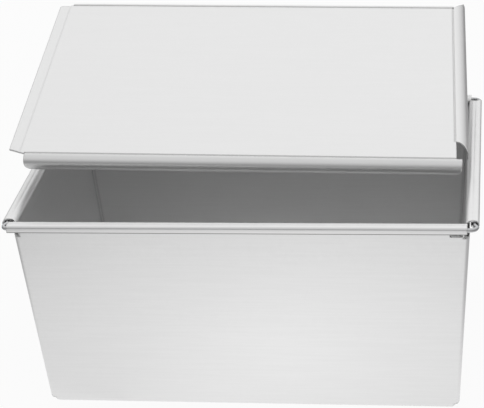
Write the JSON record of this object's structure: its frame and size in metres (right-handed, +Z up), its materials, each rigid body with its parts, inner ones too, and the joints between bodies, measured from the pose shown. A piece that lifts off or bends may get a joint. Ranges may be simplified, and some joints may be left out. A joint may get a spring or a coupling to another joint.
{
  "type": "lidded loaf pan",
  "caption": "Deep rectangular sheet-metal loaf pan with leaning walls and wire-rolled rims, and a flat lid whose long-side rails slide along the rims to an end flange.",
  "frame": {"origin": "middle of the pan's base, on the surface that it stands on", "axes": "+X along the pan's length towards the lid's flange, +Y to the back, +Z up"},
  "size_m": [0.2182, 0.1875, 0.136],
  "materials": {
    "pan_sheet": "satin",
    "wire": "satin",
    "lid_sheet": "satin"
  },
  "bodies": {
    "pan": {"pan_body": "pan_sheet", "rim_wire": "wire"},
    "lid": {"lid": "lid_sheet"}
  },
  "joints": [
    {"name": "lid_slide", "type": "slide", "parent": "pan", "child": "lid", "axis": [1, 0, 0], "range_m": [0, 0.218]}
  ]
}
